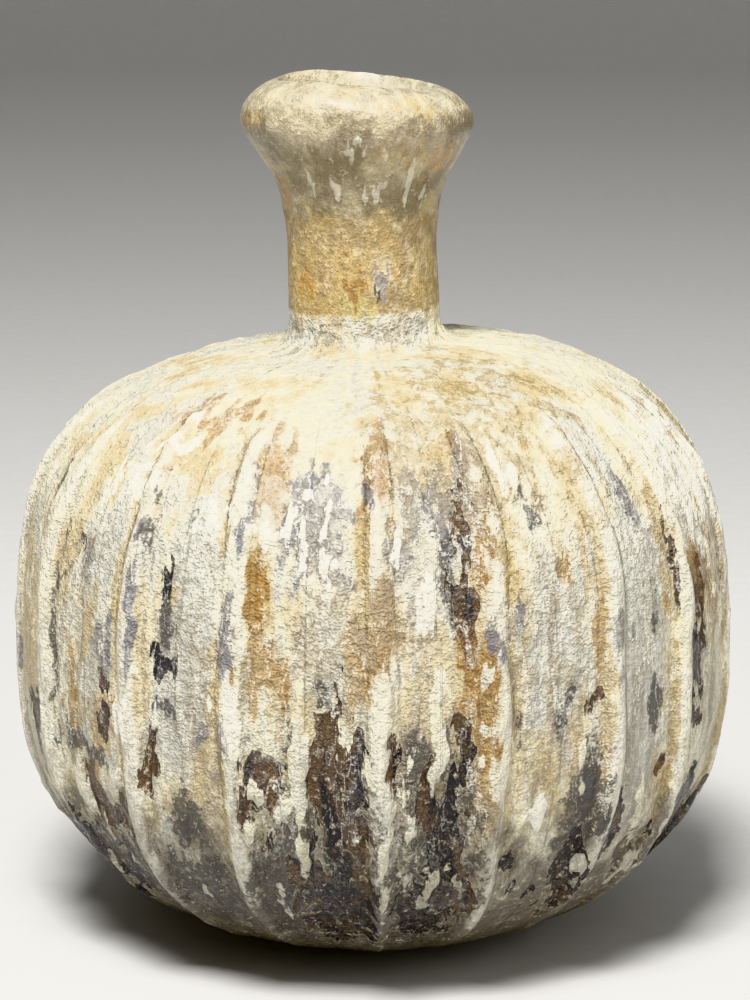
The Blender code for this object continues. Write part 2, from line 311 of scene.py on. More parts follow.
class Ribbing(bpy.types.PropertyGroup):
    """Sizes of the ribs, and of the crust's relief."""

    height: length("Rib height", "How far a rib stands out of the body", RIB_HEIGHT, 0.0)
    width: length("Rib width", "Width of a rib at its root", 0.0040, 0.0005)
    flute_depth: length("Flute depth", "Depth of the shallow hollow between two ribs", 0.0004, 0.0)
    crust_depth: length("Crust depth", "Thickness of the crust round a patch of bare glass", 0.00036, 0.0)
    roughness_depth: length("Crust roughness", "Height of the crust's lumps", 0.00046, 0.0)
    lump_size: length("Lump size", "Size of the crust's lumps across", 0.0024, 0.0002)
    seed: IntProperty(
        name="Seed", description="Which set of marks the back and the small flecks get",
        default=7, min=0)


def colour(name, description, value):
    """A colour setting."""
    return FloatVectorProperty(
        name=name, description=description, default=value, size=3, min=0.0, max=1.0, subtype="COLOR")


class CrustColours(bpy.types.PropertyGroup):
    """Colours of the crust, its stains and the glass under it."""

    cream: colour("Cream", "The crust where it is palest", (0.76, 0.715, 0.53))
    sand: colour("Sand", "The crust where it is sandy", (0.55, 0.48, 0.325))
    grey: colour("Grey", "The crust where it is silvery", (0.47, 0.46, 0.40))
    # Grime is also the colour of the painted shadow line on the right of each rib
    grime_and_shade: colour("Grime", "Grey-brown dirt in the crust", (0.25, 0.205, 0.14))
    # This colour also paints shade in the flutes and under the lip's roll
    dull_and_shade: colour("Dull", "Buff dirt between the ribs", (0.33, 0.275, 0.19))
    # Along the rib crests this colour is partly a painted highlight
    rib: colour("Rib", "The smooth skin on the ribs", (0.68, 0.655, 0.555))
    chalk: colour("Chalk", "Thick white crust", (0.84, 0.82, 0.73))
    ochre: colour("Ochre", "Yellow-brown stain", (0.395, 0.285, 0.112))
    rust: colour("Rust", "Orange stain", (0.36, 0.20, 0.055))
    amber: colour("Amber", "Golden brown skin over thin glass", (0.27, 0.15, 0.042))
    veil: colour("Veil", "Lilac-grey sheen where the glass has flaked", (0.165, 0.16, 0.18))
    gold: colour("Gold", "Yellow-brown skin of the neck", (0.29, 0.205, 0.09))
    olive: colour("Olive", "Grey-brown skin on the flare", (0.20, 0.16, 0.092))
    moss: colour("Moss", "Greenish stain at the root of the neck", (0.42, 0.37, 0.15))
    # The dirt colour is partly painted shade towards the foot
    dirt_and_shade: colour("Dirt", "Grey-brown burial dirt towards the foot", (0.105, 0.090, 0.072))
    # The soot colour is partly painted shade on the lower body
    soot_and_shade: colour("Soot", "Dark burial dirt", (0.060, 0.054, 0.050))
    brown: colour("Brown", "Bare glass where it is thin", (0.082, 0.050, 0.028))
    black: colour("Black", "Bare glass at its darkest", (0.014, 0.012, 0.015))


class StageSettings(bpy.types.PropertyGroup):
    """Floor, light and camera."""

    floor_colour: colour("Floor", "Colour of the floor and the sweep round it", (0.60, 0.59, 0.57))
    sweep_radius: FloatProperty(
        name="Sweep radius", description="How far away the floor turns up into the backdrop",
        default=2.2, min=0.5, unit="LENGTH")
    key_power: FloatProperty(
        name="Key light", description="Power of the large light above the front, in watts",
        default=10.6, min=0.0)
    fill_power: FloatProperty(
        name="Fill light", description="Power of the light on the right, in watts", default=1.6, min=0.0)
    sky: FloatProperty(
        name="Sky", description="Strength of the even light from above", default=0.36, min=0.0)
    view: StringProperty(
        name="View", description="How the light's strength becomes the picture's colour",
        default="Khronos PBR Neutral")
    camera_distance: FloatProperty(
        name="Camera distance", description="From the bottle's axis to the camera, level",
        default=0.420, min=0.1, unit="LENGTH")
    camera_height: FloatProperty(
        name="Camera height", description="Height of the camera over the floor",
        default=0.1423, min=0.0, unit="LENGTH")
    camera_tilt: FloatProperty(
        name="Camera tilt", description="How far the camera looks down",
        default=math.radians(11.884), subtype="ANGLE")


# Profile


def smooth_step(low, high, value):
    """0 below low, 1 above high, and a smooth rise between them."""
    share = np.clip((value - low) / (high - low), 0.0, 1.0)
    return share * share * (3.0 - 2.0 * share)


def quarter(radius, height, fullness, end_radius):
    """Points of a superellipse from its widest line, which is at height 0, to where it has end_radius."""
    end = math.acos((end_radius / radius) ** (fullness / 2.0))
    angle = np.linspace(0.0, end, FINE_POINTS)
    across = radius * np.cos(angle) ** (2.0 / fullness)
    along = height * np.sin(angle) ** (2.0 / fullness)
    return np.stack([across, along], 1)


def belly(form, radius, height):
    """The body's lower half, from its widest line to the foot's edge, which is height below that line."""
    full_height = height / (1.0 - (form.foot_radius / radius) ** BELLY_FULLNESS) ** (1.0 / BELLY_FULLNESS)
    points = quarter(radius, full_height, BELLY_FULLNESS, form.foot_radius)
    return np.stack([points[:, 0], form.widest_height - points[:, 1]], 1)


def shoulder(form, radius, height, neck_radius):
    """The body's upper half, from its widest line to the start of the sweep into the neck."""
    points = quarter(radius, height, SHOULDER_FULLNESS, neck_radius + form.neck_root_sweep)
    return points + form.widest_height * UP


def curve(start, start_way, end, end_way):
    """Points of a curve that leaves start along start_way and reaches end along end_way."""
    handle = HANDLE_SHARE * np.linalg.norm(end - start)
    knots = (start, start + handle * start_way, end - handle * end_way, end)
    t = np.linspace(0.0, 1.0, FINE_POINTS)[:, None]
    weights = ((1 - t) ** 3, 3 * t * (1 - t) ** 2, 3 * t * t * (1 - t), t ** 3)
    return sum(weight * knot for weight, knot in zip(weights, knots))


def joined(*stretches):
    """Several stretches of the profile end to end, without repeating the points where they meet."""
    return np.concatenate([stretches[0]] + [stretch[1:] for stretch in stretches[1:]])


def spaced(points, spacing):
    """The same line with points at an even distance of about spacing."""
    along = np.concatenate([[0.0], np.cumsum(np.linalg.norm(np.diff(points, axis=0), axis=1))])
    count = max(round(along[-1] / spacing), 2)
    steps = np.linspace(0.0, along[-1], count + 1)
    return np.stack([np.interp(steps, along, points[:, 0]), np.interp(steps, along, points[:, 1])], 1)


def crest(form):
    """The highest point of the lip's section."""
    return np.array((form.lip_radius - form.lip_thickness + form.mouth_rounding, form.top_z))


def hollow_profile(form):
    """The hollow, from the middle of the floor up to the crest of the lip."""
    bore_radius = form.neck_radius - form.neck_wall
    mouth_radius = form.lip_radius - form.lip_thickness
    radius = form.body_radius - form.wall
    middle = np.array((0.0, form.foot_hollow + form.floor_thickness))
    lower = belly(form, radius, form.widest_height - form.floor_thickness)[::-1]
    upper = shoulder(form, radius, form.shoulder_height - form.wall, bore_radius)
    bore_foot = np.array((bore_radius, upper[-1, 1] + form.neck_root_sweep))
    bore_top = np.array((bore_radius, form.flare_z))
    mouth = np.array((mouth_radius, form.top_z - form.mouth_rounding))
    return joined(
        np.array([middle, lower[0]]), lower, upper,
        curve(upper[-1], -OUT, bore_foot, UP),
        np.array([bore_foot, bore_top]),
        curve(bore_top, UP, mouth, UP),
        curve(mouth, UP, crest(form), OUT),
    )


def neck_profile(form):
    """The outside of the lip and neck, from the crest down to where the shoulder starts."""
    lip_side = np.array((form.lip_radius, form.lip_z))
    neck_top = np.array((form.neck_radius + form.neck_taper, form.flare_z))
    root = shoulder(form, form.body_radius, form.shoulder_height, form.neck_radius)[-1]
    waist = np.array((form.neck_radius, root[1] + form.neck_root_sweep))
    flare_way = -UP - FLARE_SLOPE * OUT
    return joined(
        curve(crest(form), OUT, lip_side, -UP),
        curve(lip_side, -LIP_FULLNESS * UP, neck_top, flare_way),
        curve(neck_top, flare_way, waist, -UP),
        curve(waist, -UP, root, OUT),
    )


def body_profile(form):
    """The outside of the body, from the top of the shoulder down to the foot's edge."""
    upper = shoulder(form, form.body_radius, form.shoulder_height, form.neck_radius)[::-1]
    return joined(upper, belly(form, form.body_radius, form.widest_height))


def foot_profile(form):
    """The underside, from the foot's edge over its ring to the middle of its hollow."""
    inner = form.foot_radius - form.foot_ring_width
    return joined(
        np.array([(form.foot_radius, 0.0), (inner, 0.0)]),
        curve(np.array((inner, 0.0)), UP * 0.5 - OUT * 0.3, np.array((0.0, form.foot_hollow)), -OUT),
    )


def uneven(form, x, z):
    """Where the uneven blowing left points of the evenly turned shape: their new x and z."""
    body_end = smooth_step(form.widest_height + form.shoulder_height / 2.0, form.shoulder_z, z)
    up_neck = smooth_step(form.shoulder_z, form.flare_z, z)
    up_flare = smooth_step(form.flare_z, form.top_z, z)
    up_lip = smooth_step(form.lip_z - form.lip_rise / 2.0, form.top_z, z)
    lean = NECK_SHARE_OF_LEAN * up_neck + (1.0 - NECK_SHARE_OF_LEAN) * up_flare
    offset = body_end * NECK_OFFSET + lean * (LIP_OFFSET - NECK_OFFSET)
    past = LIP_HIGH_LINE - x
    past_high_line = 0.5 * (past + np.hypot(past, LIP_BLEND)) - 0.25 * LIP_BLEND
    lip_drop = LIP_SLANT * (x + past_high_line) + LIP_WEAR * past_high_line
    lift = body_end * (1.0 - up_neck) * SHOULDER_SLANT * x - up_lip * lip_drop
    return x + offset, z + lift


# Surface


class Surface:
    """A closed surface made of rings of points round the axis, with more columns where it needs them."""

    def __init__(self):
        self.rings = []
        self.points = []
        self.faces = []
        self.count = 0

    def add_ring(self, radius, height, columns, zone):
        """A ring of points, or one point where the radius is 0. Column 0 faces -Y."""
        columns = columns if radius > 0.0 else 1
        direction = np.linspace(0.0, 360.0, columns, endpoint=False)
        ring = np.stack([direction] + [np.full(columns, value) for value in (radius, height, zone)], 1)
        ids = np.arange(self.count, self.count + columns)
        self.count += columns
        self.points.append(ring)
        if self.rings:
            self.join(self.rings[-1], ids)
        self.rings.append(ids)

    def join(self, first, second):
        """Faces between two rings. Where one has more columns, each edge of the other gets a fan."""
        if len(first) == len(second):
            a, b = first, second
            self.faces += np.stack([b, np.roll(b, -1), np.roll(a, -1), a], 1).tolist()
            return
        flip = len(first) > len(second)
        coarse, fine = (second, first) if flip else (first, second)
        ratio = len(fine) // len(coarse)
        for j, start in enumerate(coarse):
            end = coarse[(j + 1) % len(coarse)]
            edge = [fine[(j * ratio + i) % len(fine)] for i in range(ratio + 1)]
            fan = [(start if i < ratio / 2 else end, edge[i + 1], edge[i]) for i in range(ratio)]
            if len(coarse) > 1:
                fan.append((start, end, edge[(ratio + 1) // 2]))
            self.faces += [face if flip else tuple(reversed(face)) for face in fan]

    def table(self):
        """Direction, radius, height and zone of every point."""
        return np.concatenate(self.points)


HOLLOW, NECK, BODY, FOOT = range(4)


def bottle_surface(form):
    """Every ring of the bottle, from the middle of its floor out over the lip and down to its underside."""
    surface = Surface()
    parts = (
        (hollow_profile(form), HOLLOW_ROW, HOLLOW_COLUMNS, HOLLOW),
        (neck_profile(form), NECK_ROW, NECK_COLUMNS, NECK),
        (body_profile(form), BODY_ROW, BODY_COLUMNS, BODY),
        (foot_profile(form), FOOT_ROW, FOOT_COLUMNS, FOOT),
    )
    for profile, spacing, columns, zone in parts:
        points = spaced(profile, spacing)
        last = len(points) if zone == FOOT else len(points) - 1
        for radius, height in points[:last]:
            surface.add_ring(radius, height, columns, zone)
    return surface


def signed_direction(direction):
    """Direction from -180 to 180 degrees."""
    return (direction + 180.0) % 360.0 - 180.0


def rib_directions():
    """Direction of each rib's crest, in rising order."""
    found = [360.0 * rib / RIB_COUNT + RIB_DRIFT[rib] for rib in range(RIB_COUNT)]
    return np.sort(np.mod(found, 360.0))


def rib_fields(form, direction, radius, height, zone):
    """For every point: metres from the nearest crest, share of the way across its flute, rib strength."""
    crests = rib_directions()
    wrapped = np.concatenate([[crests[-1] - 360.0], crests, [crests[0] + 360.0]])
    wander = RIB_WANDER * np.sin(height * 260.0 + np.radians(direction) * 5.0)
    place = direction + wander
    after = np.clip(np.searchsorted(wrapped, place), 1, len(wrapped) - 1)
    low, high = wrapped[after - 1], wrapped[after]
    share = (place - low) / (high - low)
    nearest = np.where(share < 0.5, place - low, place - high)
    across = np.radians(nearest) * form.body_radius
    start = np.where(height > form.widest_height, RIB_TOP_SHARES[0], RIB_FOOT_SHARES[0])
    full = np.where(height > form.widest_height, RIB_TOP_SHARES[1], RIB_FOOT_SHARES[1])
    strength = smooth_step(start * form.body_radius, full * form.body_radius, radius) * (zone == BODY)
    return across, share, strength


# Marks


def made_marks(seed):
    """Marks for the sides and back, and small flecks all round, in the same manner as the front's."""
    rng = random.Random(seed)
    marks = []
    for _ in range(BACK_MARKS):
        kind = rng.choice(BACK_KINDS)
        margin = SIDE_DIRECTION + BACK_MARGIN
        direction = rng.uniform(margin, 360.0 - margin)
        level = rng.uniform(*BACK_HEIGHTS)
        marks.append((kind, direction, level, rng.uniform(0.8, 4.0), rng.uniform(2.0, 9.0), 1.0))
    for _ in range(FOOT_MARKS):
        margin = SIDE_DIRECTION + FOOT_MARGIN
        direction = rng.uniform(margin, 360.0 - margin)
        kind = rng.choice(FOOT_KINDS)
        marks.append((kind, direction, rng.uniform(*FOOT_HEIGHTS), rng.uniform(4, 9), 5.0, 1.0))
    for _ in range(FLECKS):
        kind = rng.choice(FLECK_KINDS)
        width, length = rng.uniform(0.9, 1.7), rng.uniform(1.2, 4.0)
        direction, level = rng.uniform(0, 360), rng.uniform(*FLECK_HEIGHTS)
        marks.append((kind, direction, level, width, length, rng.uniform(0.45, 0.72)))
    return marks


def wandering(direction, height):
    """Direction and height of every point, shifted to and fro so that marks lose their round outlines."""
    turn = np.radians(direction)
    across = 0.30 * np.sin(700.0 * height + 3.0 * turn) + 0.25 * np.sin(1500.0 * height - 7.0 * turn)
    across += 0.35 * np.sin(410.0 * height + 23.0 * turn)
    along = 0.9 * np.sin(31.0 * turn + 300.0 * height) + 0.7 * np.sin(67.0 * turn - 520.0 * height)
    along += 0.5 * np.sin(121.0 * turn + 900.0 * height)
    return direction + across, height + 0.001 * along


def mark_fields(form, direction, height, outside, seed):
    """How strongly each kind of mark covers every point, from 0 to 1, and how dark the bare glass is."""
    fields = {name: np.zeros(len(direction)) for name in FIELDS}
    depth = np.zeros(len(direction))
    weight = np.full(len(direction), 1e-4)
    marks = [(kind, *mark) for kind, group in FRONT_MARKS.items() for mark in group]
    marks += made_marks(seed)
    place, level_there = wandering(direction, height)
    for kind, towards, level, half_width, half_height, strength in marks:
        across = signed_direction(place - towards) / half_width
        along = (level_there * 1000.0 - level) / half_height
        cover = strength * np.clip(1.5 - np.hypot(across, along), 0.0, 1.0) * outside
        name = "bare" if kind in GLASS_DEPTH else kind
        fields[name] = np.maximum(fields[name], cover)
        if kind in GLASS_DEPTH:
            depth += cover ** 2 * GLASS_DEPTH[kind]
            weight += cover ** 2
    fields["depth"] = depth / weight
    fields["dirt_and_shade"] = (1.0 - smooth_step(*DIRT_AND_SHADE_HEIGHTS, height)) * outside
    turn = np.radians(direction)
    border = form.flare_z + sum(wave * np.sin(count * turn + start) for wave, count, start in SKIN_WAVES)

    def above(line, span):
        return smooth_step(line + span[0], line + span[1], height)

    below_lip = 1.0 - above(form.lip_z, FLARE_SKIN_END)
    below_border = 1.0 - above(border, NECK_SKIN_END)
    fields["olive"] = above(border, FLARE_SKIN_START) * below_lip * outside
    fields["gold"] = above(form.shoulder_z, NECK_SKIN_START) * below_border * outside
    return fields


def bottle_mesh(form, seed):
    """The bottle before its ribs are raised, with the attributes that the ribs, crust and finish follow."""
    surface = bottle_surface(form)
    direction, radius, height, zone = surface.table().T
    outside = (zone == NECK) | (zone == BODY) | (zone == FOOT)
    turn = np.radians(direction)
    x, z = uneven(form, radius * np.sin(turn), height)
    y = -radius * np.cos(turn)
    mesh = bpy.data.meshes.new(PIECE)
    mesh.from_pydata(np.stack([x, y, z], 1).tolist(), [], surface.faces)
    across, share, strength = rib_fields(form, direction, radius, height, zone)
    fields = mark_fields(form, direction, height, outside, seed)
    fields["across_rib"] = across
    fields["flute_share"] = share
    fields["rib_strength"] = strength
    strength_there = np.where(zone == NECK, NECK_RELIEF, 1.0)
    fields["relief"] = outside * smooth_step(0.0, RELIEF_START, height) * strength_there
    fields["gloss"] = smooth_step(form.flare_z - 0.003, form.lip_z, height) * outside
    fields["inside"] = 1.0 - outside
    for name, values in fields.items():
        attribute = mesh.attributes.new(name, "FLOAT", "POINT")
        attribute.data.foreach_set("value", values.astype(np.float32))
    mesh.shade_smooth()
    return mesh


# Node trees


class Graph:
    """Short ways to write a shader's or a geometry's node tree."""

    def __init__(self, tree):
        self.tree = tree

    def node(self, kind, inputs=(), **settings):
        """A node with its settings, and with inputs, by name or number, linked or set."""
        node = self.tree.nodes.new(kind)
        for name, value in settings.items():
            setattr(node, name, value)
        for name, value in dict(inputs).items():
            self.feed(node.inputs[name], value)
        return node

    def feed(self, socket, value):
        """Links a socket to the input, or sets the input's value."""
        if isinstance(value, bpy.types.NodeSocket):
            self.tree.links.new(value, socket)
        else:
            socket.default_value = value

    def math(self, operation, *values):
        """The result of a calculation on up to three values."""
        return self.node("ShaderNodeMath", enumerate(values), operation=operation).outputs[0]

    def times(self, first, second):
        return self.math("MULTIPLY", first, second)

    def plus(self, first, second):
        return self.math("ADD", first, second)

    def minus(self, first, second):
        return self.math("SUBTRACT", first, second)

    def larger(self, first, second):
        return self.math("MAXIMUM", first, second)

    def scaled(self, vector, scale):
        """A vector times another."""
        return self.node("ShaderNodeVectorMath", {0: vector, 1: scale}, operation="MULTIPLY").outputs[0]

    def noise(self, vector, size, detail=4.0, roughness=0.6):
        """Smooth noise from 0 to 1 with features of about size, in metres."""
        inputs = {"Vector": vector, "Scale": 1.0 / size, "Detail": detail, "Roughness": roughness}
        return self.node("ShaderNodeTexNoise", inputs).outputs[0]

    def step(self, value, low, high, start=0.0, end=1.0):
        """A smooth rise from start to end as value goes from low to high."""
        inputs = {"Value": value, "From Min": low, "From Max": high, "To Min": start, "To Max": end}
        return self.node("ShaderNodeMapRange", inputs, interpolation_type="SMOOTHSTEP").outputs[0]

    def mix(self, share, first, second, blend="MIX"):
        """A colour between two others, each a socket or a colour setting."""
        node = self.node("ShaderNodeMix", {0: share}, data_type="RGBA", blend_type=blend)
        for number, colour_given in ((6, first), (7, second)):
            is_socket = isinstance(colour_given, bpy.types.NodeSocket)
            self.feed(node.inputs[number], colour_given if is_socket else (*colour_given, 1.0))
        return node.outputs[2]

    def shaded(self, colour_given, value):
        """A colour made darker or lighter by a number."""
        grey = self.node("ShaderNodeCombineXYZ", {0: value, 1: value, 2: value}).outputs[0]
        return self.mix(1.0, colour_given, grey, "MULTIPLY")


def socket_for(tree, name, kind, default=None, is_output=False):
    """A named input or output of a node group."""
    socket = tree.interface.new_socket(name=name, in_out="OUTPUT" if is_output else "INPUT", socket_type=kind)
    if default is not None:
        socket.default_value = default
    return socket


def number_inputs(tree, defaults):
    """Inputs of a node group that each take a number, from their names and defaults."""
    for name, default in defaults.items():
        socket_for(tree, name, "NodeSocketFloat", default)


# Ribs and crust


# The crust's plates: their size, the detail of their edges, and the noise levels between which an edge rises
PLATE_SIZE = 0.0065
PLATE_DETAIL = (3.5, 0.58)
PLATE_EDGE = (0.48, 0.52)

# How far apart the ribs' bold and faint stretches are, the shares of the rib height that the faintest and
# the boldest stand, and the size of the crust's broad swells
BOLDNESS_SIZE = 0.012
BOLDNESS = (0.55, 1.05)
SWELL_SIZE = 0.009

# How far noise is squeezed upright: less means longer streaks
PATCH_STRETCH = 0.34
STREAK_STRETCH = 0.14
FIBRE_STRETCH = 0.09


def ribbing_tree():
    """Raises the ribs, hollows the flutes and roughens the crust, sinking it where the glass is bare."""
    tree = bpy.data.node_groups.new("ribs_and_crust", "GeometryNodeTree")
    socket_for(tree, "Geometry", "NodeSocketGeometry")
    number_inputs(tree, {
        "Rib Height": 0.0009, "Rib Width": 0.004, "Flute Depth": 0.0004, "Crust Depth": 0.0003,
        "Roughness Depth": 0.0003, "Lump Size": 0.002, "Seed": 0.0,
    })
    socket_for(tree, "Material", "NodeSocketMaterial")
    socket_for(tree, "Geometry", "NodeSocketGeometry", is_output=True)
    g = Graph(tree)
    given = g.node("NodeGroupInput").outputs

    def field(name):
        node = g.node("GeometryNodeInputNamedAttribute", {"Name": name}, data_type="FLOAT")
        return node.outputs["Attribute"]

    place = g.node("GeometryNodeInputPosition").outputs[0]
    shift = g.node("ShaderNodeCombineXYZ", {"X": given["Seed"], "Y": 0.0, "Z": 0.0}).outputs[0]
    place = g.node("ShaderNodeVectorMath", {0: place, 1: shift}, operation="ADD").outputs[0]
    stretched = g.scaled(place, (1.0, 1.0, PATCH_STRETCH))

    # Ribs: a rounded ridge over each crest, bolder in some places than in others
    half_rib = g.times(given["Rib Width"], 0.5)
    far = g.math("DIVIDE", g.math("ABSOLUTE", field("across_rib")), half_rib)
    ridge = g.step(far, 0.30, 1.0, 1.0, 0.0)
    boldness = g.step(g.noise(stretched, BOLDNESS_SIZE, 2.0), 0.3, 0.7, *BOLDNESS)
    raised = g.times(g.times(ridge, given["Rib Height"]), boldness)
    hollow = g.math("SINE", g.times(field("flute_share"), math.pi))
    sunk = g.times(hollow, given["Flute Depth"])
    ribbing = g.times(g.minus(raised, sunk), field("rib_strength"))

    # Crust: lumps of two sizes, missing where the glass is bare and thicker where it is chalky
    scale = g.math("DIVIDE", 1.0, given["Lump Size"])
    inputs = {"Vector": stretched, "Scale": scale, "Detail": 3.0, "Roughness": 0.6}
    lumps = g.node("ShaderNodeTexNoise", inputs).outputs[0]
    swell = g.noise(place, SWELL_SIZE, 2.0)
    rough = g.plus(g.minus(lumps, 0.5), g.minus(swell, 0.5))
    rough = g.times(rough, given["Roughness Depth"])
    ragged = g.times(g.minus(lumps, 0.5), 0.9)
    bare = g.step(g.plus(field("bare"), ragged), 0.36, 0.62)
    thick = g.step(g.plus(g.larger(field("chalk"), field("pale")), ragged), 0.40, 0.66)
    sunken = g.times(bare, g.minus(1.0, thick))
    layer = g.minus(g.times(thick, 0.9), sunken)
    plate = g.step(g.noise(stretched, PLATE_SIZE, *PLATE_DETAIL), *PLATE_EDGE)
    layer = g.math("MULTIPLY_ADD", plate, 0.45, layer)
    crust = g.plus(rough, g.times(layer, given["Crust Depth"]))
    crust = g.times(crust, field("relief"))

    lift = g.plus(ribbing, crust)
    normal = g.node("GeometryNodeInputNormal").outputs[0]
    offset = g.node("ShaderNodeVectorMath", {0: normal, "Scale": lift}, operation="SCALE").outputs[0]
    moved = g.node("GeometryNodeSetPosition", {"Geometry": given["Geometry"], "Offset": offset}).outputs[0]
    inputs = {"Geometry": moved, "Name": "ridge"}
    stored = g.node("GeometryNodeStoreNamedAttribute", inputs, data_type="FLOAT")
    g.feed(stored.inputs["Value"], g.times(ridge, field("rib_strength")))
    real = g.node("GeometryNodeRealizeInstances", {"Geometry": stored.outputs[0]}).outputs[0]
    painted = g.node("GeometryNodeSetMaterial", {"Geometry": real, "Material": given["Material"]}).outputs[0]
    g.node("NodeGroupOutput", {"Geometry": painted})
    return tree


def in_scene(name, data):
    """A new object with this data, in the scene."""
    obj = bpy.data.objects.new(name, data)
    bpy.context.scene.collection.objects.link(obj)
    return obj


def shaped(mesh, tree, values):
    """The mesh as a node tree shapes it, made plain."""
    obj = in_scene(mesh.name, mesh)
    modifier = obj.modifiers.new("ribs_and_crust", "NODES")
    modifier.node_group = tree
    for item in tree.interface.items_tree:
        if item.item_type == "SOCKET" and item.in_out == "INPUT" and item.name in values:
            modifier[item.identifier] = values[item.name]
    depsgraph = bpy.context.evaluated_depsgraph_get()
    made = bpy.data.meshes.new_from_object(obj.evaluated_get(depsgraph))
    obj.modifiers.clear()
    obj.data = made
    bpy.data.meshes.remove(mesh)
    made.name = PIECE
    return obj


# Finish


# Noises of the crust, each with its size in metres, detail and roughness: the flakes' edges, the small
# mottling, the broad drifts of colour, the streaks and the finest upright fibres
RAGGED_NOISE = (0.0024, 3.5, 0.64)
MOTTLE_NOISE = (0.0011, 2.5, 0.66)
DRIFT_NOISE = (0.017, 3.0, 0.60)
STREAK_NOISE = (0.0021, 3.5, 0.60)
FIBRE_NOISE = (0.00055, 2.0, 0.62)

# Size of the sandy grain in the crust and in the floor
CRUST_GRAIN = 0.00030
FLOOR_GRAIN = 0.004

# How far noise is squeezed on the neck, where streaks are short, and the depth of the finest relief
NECK_STRETCH = 0.8
FINE_RELIEF = 0.00038

# Stains are deeper on the shoulder, between the first two heights, and plain again above the last two
DEEPER_FROM = (0.050, 0.064)
DEEPER_SHARE = 0.68
DEEPER_UNTIL = (0.074, 0.078)


def ragged_patch():
    """A patch with a ragged edge, and the rim just outside it, from a soft field and a noise."""
    tree = bpy.data.node_groups.new("ragged_patch", "ShaderNodeTree")
    number_inputs(tree, {"Field": 0.0, "Noise": 0.5, "Raggedness": 0.8, "Softness": 0.08})
    socket_for(tree, "Mask", "NodeSocketFloat", is_output=True)
    socket_for(tree, "Rim", "NodeSocketFloat", is_output=True)
    g = Graph(tree)
    given = g.node("NodeGroupInput").outputs
    shake = g.times(g.minus(given["Noise"], 0.5), given["Raggedness"])
    shake = g.times(shake, g.step(given["Field"], 0.0, 0.25))
    value = g.plus(given["Field"], shake)
    mask = g.step(value, g.minus(0.5, given["Softness"]), g.plus(0.5, given["Softness"]))
    near = g.step(value, 0.30, 0.48)
    rim = g.times(near, g.minus(1.0, mask))
    g.node("NodeGroupOutput", {"Mask": mask, "Rim": rim})
    return tree


def fine_grain():
    """Sandy grain in two sizes."""
    tree = bpy.data.node_groups.new("fine_grain", "ShaderNodeTree")
    socket_for(tree, "Vector", "NodeSocketVector")
    socket_for(tree, "Grain Size", "NodeSocketFloat", 0.0003)
    socket_for(tree, "Value", "NodeSocketFloat", is_output=True)
    g = Graph(tree)
    given = g.node("NodeGroupInput").outputs
    scale = g.math("DIVIDE", 1.0, given["Grain Size"])
    inputs = {"Vector": given["Vector"], "Scale": scale, "Detail": 1.5, "Roughness": 0.7}
    grain = g.node("ShaderNodeTexNoise", inputs).outputs[0]
    g.node("NodeGroupOutput", {"Value": g.step(grain, 0.28, 0.72)})
    return tree


def shared_effect(name):
    """The node group of an effect that several materials or places use, built the first time."""
    return bpy.data.node_groups.get(name) or EFFECTS[name]()


EFFECTS = {"ragged_patch": ragged_patch, "fine_grain": fine_grain}


def new_material(name):
    """A material, its node tree, ready to be added to, and its shader."""
    material = bpy.data.materials.new(name)
    material.use_nodes = True
    return material, Graph(material.node_tree), material.node_tree.nodes["Principled BSDF"]


def mesh_field(g, name):
    """One of the fields that the mesh carries, for a material."""
    return g.node("ShaderNodeAttribute", attribute_name=name).outputs["Fac"]


def patch(g, value, noise, raggedness, softness):
    """Where a value is high, with a ragged edge: a mask of it, and the rim outside it."""
    inputs = {"Field": value, "Noise": noise, "Raggedness": raggedness, "Softness": softness}
    return g.node("ShaderNodeGroup", inputs, node_tree=shared_effect("ragged_patch")).outputs


def shared_values(g, form):
    """What the layers have in common: the crust's noises, height, and the mesh's fields."""
    place = g.node("ShaderNodeTexCoord").outputs["Object"]
    parts = g.node("ShaderNodeSeparateXYZ", {0: place}).outputs
    on_neck = g.larger(g.minus(parts[2], form.shoulder_z), 0.0)

    def drawn_out(share):
        """Places squeezed upright, so that noise on the body draws out into streaks, less so on the neck."""
        extra = g.times(on_neck, NECK_STRETCH - share)
        height = g.plus(g.times(parts[2], share), extra)
        return g.node("ShaderNodeCombineXYZ", {0: parts[0], 1: parts[1], 2: height}).outputs[0]

    upright = drawn_out(PATCH_STRETCH)
    inputs = {"Vector": place, "Grain Size": CRUST_GRAIN}
    n = SimpleNamespace(height=parts[2])
    n.ragged_noise = g.noise(upright, *RAGGED_NOISE)
    n.tone_noise = g.noise(upright, PLATE_SIZE, *PLATE_DETAIL)
    n.ragged = g.step(n.ragged_noise, 0.32, 0.68)
    n.tone = g.step(n.tone_noise, 0.32, 0.68)
    n.mottle = g.step(g.noise(place, *MOTTLE_NOISE), 0.30, 0.70)
    n.drift = g.step(g.noise(place, *DRIFT_NOISE), 0.34, 0.66)
    n.streak = g.step(g.noise(drawn_out(STREAK_STRETCH), *STREAK_NOISE), 0.32, 0.68)
    n.fibre = g.step(g.noise(drawn_out(FIBRE_STRETCH), *FIBRE_NOISE), 0.30, 0.70)
    n.grain = g.node("ShaderNodeGroup", inputs, node_tree=shared_effect("fine_grain")).outputs[0]
    n.low = mesh_field(g, "dirt_and_shade")
    n.gloss = mesh_field(g, "gloss")
    n.golden = mesh_field(g, "gold")
    n.brownish = mesh_field(g, "olive")
    n.smooth = g.larger(g.larger(n.golden, n.brownish), n.gloss)
    n.ridge = mesh_field(g, "ridge")
    n.near_ribs = mesh_field(g, "rib_strength")
    n.across = g.times(mesh_field(g, "across_rib"), 1000.0)
    return n


